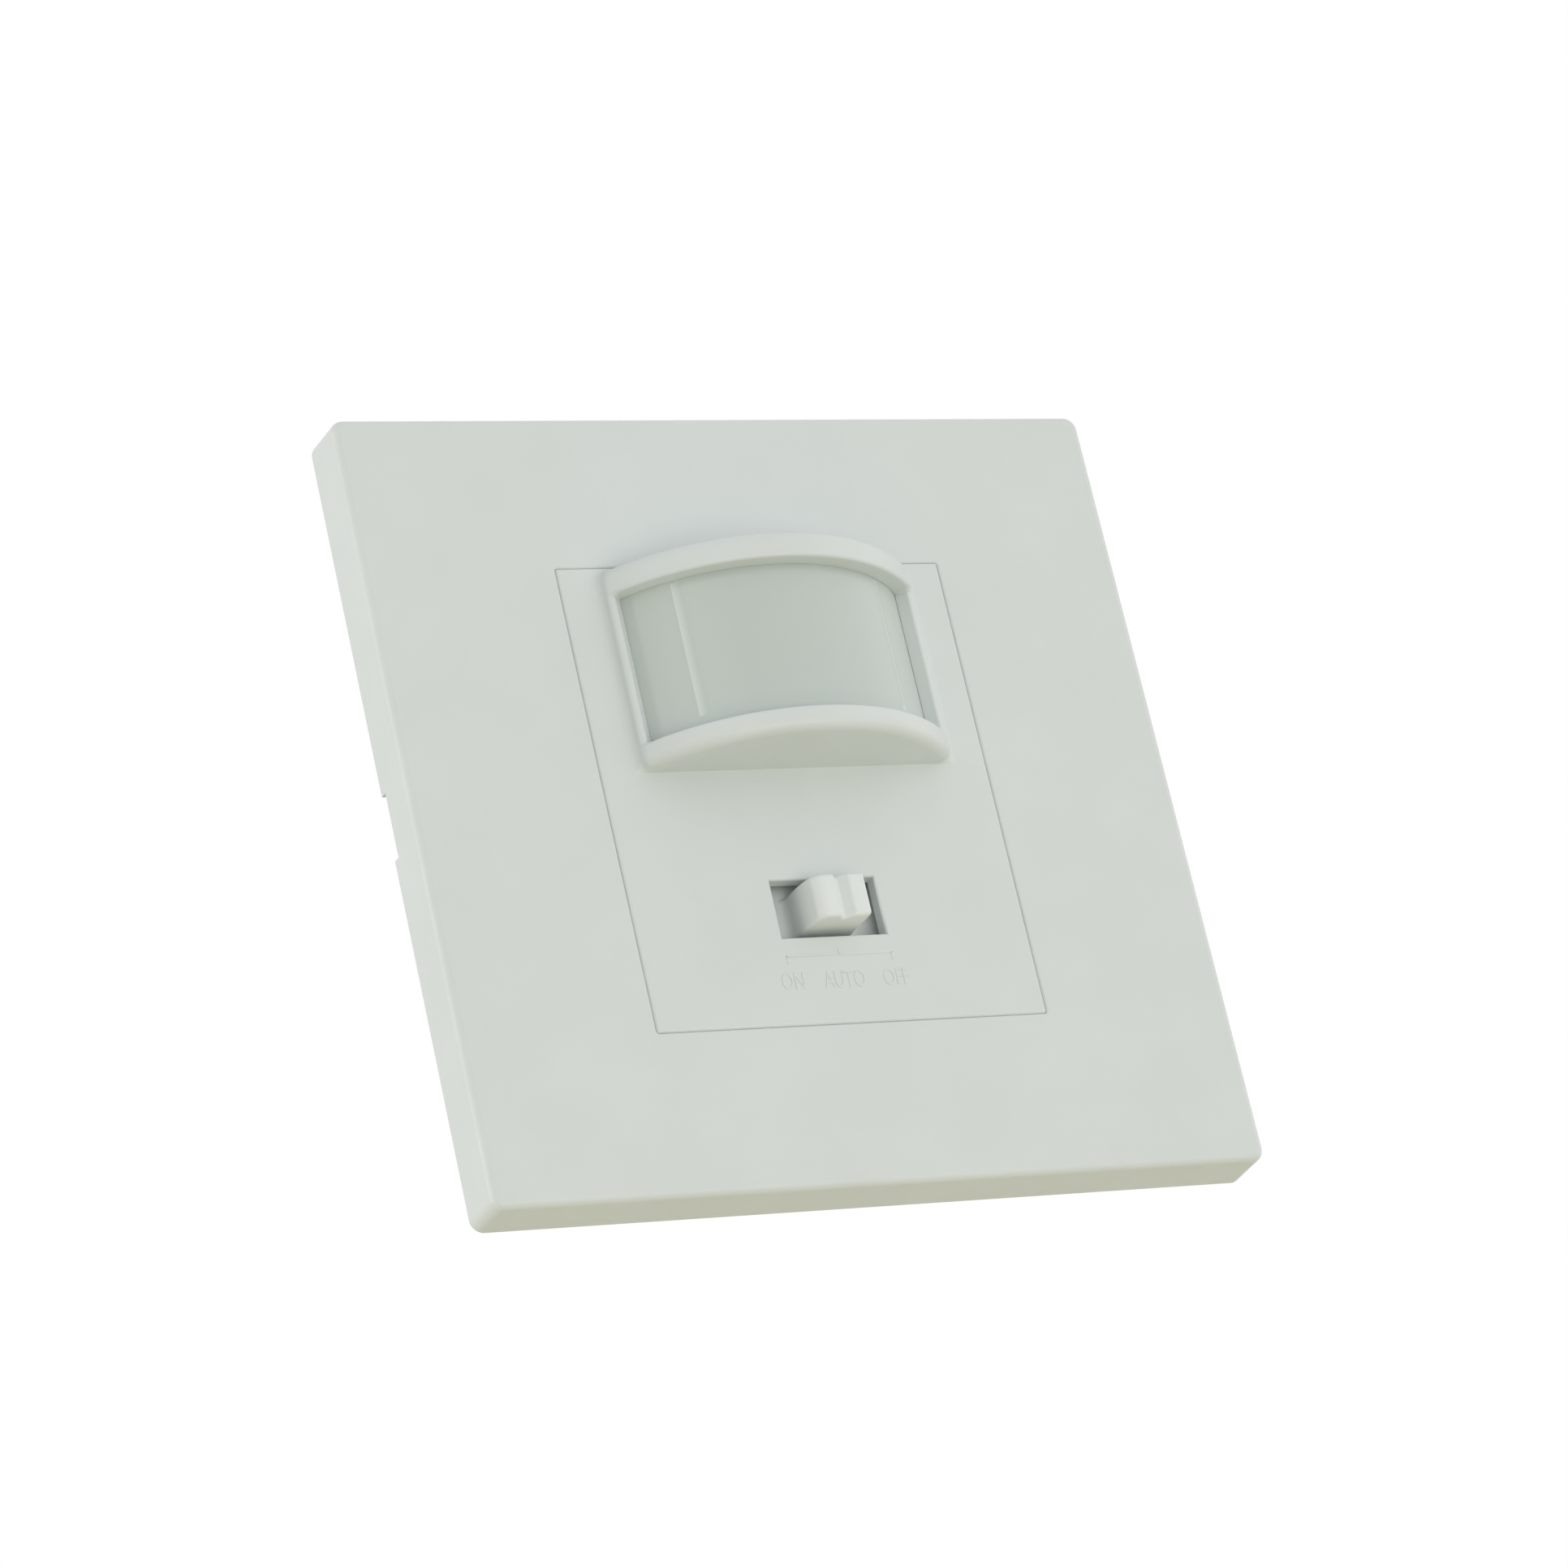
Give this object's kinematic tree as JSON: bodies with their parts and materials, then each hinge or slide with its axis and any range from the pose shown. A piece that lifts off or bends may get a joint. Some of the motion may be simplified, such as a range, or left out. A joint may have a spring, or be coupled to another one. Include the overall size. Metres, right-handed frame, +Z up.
{
  "type": "motion sensor light switch",
  "caption": "Flush wall switch with a square face plate, a barrel-shaped motion sensor hood with a milky lens, a sliding on, automatic and off selector, and its works in a box behind the wall.",
  "frame": {"origin": "middle of the face plate on the plane of the wall surface, midway between the wall box screws", "axes": "+X to the right and +Z up as the switch hangs on the wall, -Y out of the wall towards the room, +Y into the wall box"},
  "size_m": [0.086, 0.0472, 0.086],
  "materials": {
    "plate_white": "fine satin moulded plastic",
    "panel_white": "fine satin moulded plastic",
    "knob_white": "fine satin moulded plastic",
    "housing_white": "plain matt moulded plastic",
    "rotor_white": "plain moulded plastic",
    "lens_milky": "milky polyethylene sheet",
    "frame_black": "plain moulded plastic",
    "chip_black": "moulded epoxy",
    "sleeve_black": "shrunk sleeve",
    "terminal_black": "moulded terminal plastic",
    "relay_blue": "glossy relay case",
    "trimmer_blue": "moulded trimmer body",
    "varistor_blue": "dipped coating",
    "film_yellow": "moulded capacitor case",
    "cell_ceramic": "light cell on ceramic",
    "board_green": "circuit board with solder mask",
    "yoke_steel": "zinc-plated sheet steel",
    "screw_steel": "zinc-plated screw steel",
    "can_steel": "drawn plated can",
    "lead_tin": "tinned lead wire",
    "contact_brass": "plain brass",
    "eye_dark": "dark optical filter"
  },
  "bodies": {
    "module": {"front_panel": "panel_white", "fresnel_lens": "lens_milky", "lens_frame": "frame_black", "mounting_yoke": "yoke_steel", "case_screws": "screw_steel", "control_board": "board_green", "board_screws": "screw_steel", "pir_can": "can_steel", "pir_window": "eye_dark", "pir_spacer": "frame_black", "pir_leads": "contact_brass", "light_cell": "cell_ceramic", "light_cell_leads": "lead_tin", "switch_shell": "can_steel", "switch_base": "frame_black", "control_chip": "chip_black", "chip_leads": "lead_tin", "time_trimmer_body": "trimmer_blue", "lux_trimmer_body": "trimmer_blue", "link_header": "frame_black", "link_pins": "contact_brass", "power_board": "board_green", "power_board_screws": "screw_steel", "relay_case": "relay_blue", "relay_base": "frame_black", "film_capacitor": "film_yellow", "filter_capacitor": "sleeve_black", "varistor": "varistor_blue", "varistor_leads": "lead_tin", "fuse": "chip_black", "rectifier_diodes": "chip_black", "terminal_block": "terminal_black", "terminal_clamps": "contact_brass", "terminal_screws": "screw_steel", "rear_housing": "housing_white"},
    "selector": {"selector_knob": "knob_white", "switch_stem": "frame_black"},
    "plate": {"face_plate": "plate_white"},
    "time_rotor": {"time_trimmer_rotor": "rotor_white"},
    "lux_rotor": {"lux_trimmer_rotor": "rotor_white"}
  },
  "joints": [
    {"name": "selector_slide", "type": "slide", "parent": "module", "child": "selector", "axis": [1, 0, 0], "range_m": [-0.0024, 0.0024]},
    {"name": "plate_pull", "type": "slide", "parent": "module", "child": "plate", "axis": [0, -1, 0], "range_m": [0, 0.015]},
    {"name": "time_turn", "type": "hinge", "parent": "module", "child": "time_rotor", "pos_m": [-0.0065, 0.0016, -0.0275], "axis": [0, -1, 0], "range_deg": [-135, 135]},
    {"name": "lux_turn", "type": "hinge", "parent": "module", "child": "lux_rotor", "pos_m": [0.0065, 0.0016, -0.0275], "axis": [0, -1, 0], "range_deg": [-135, 135]}
  ]
}
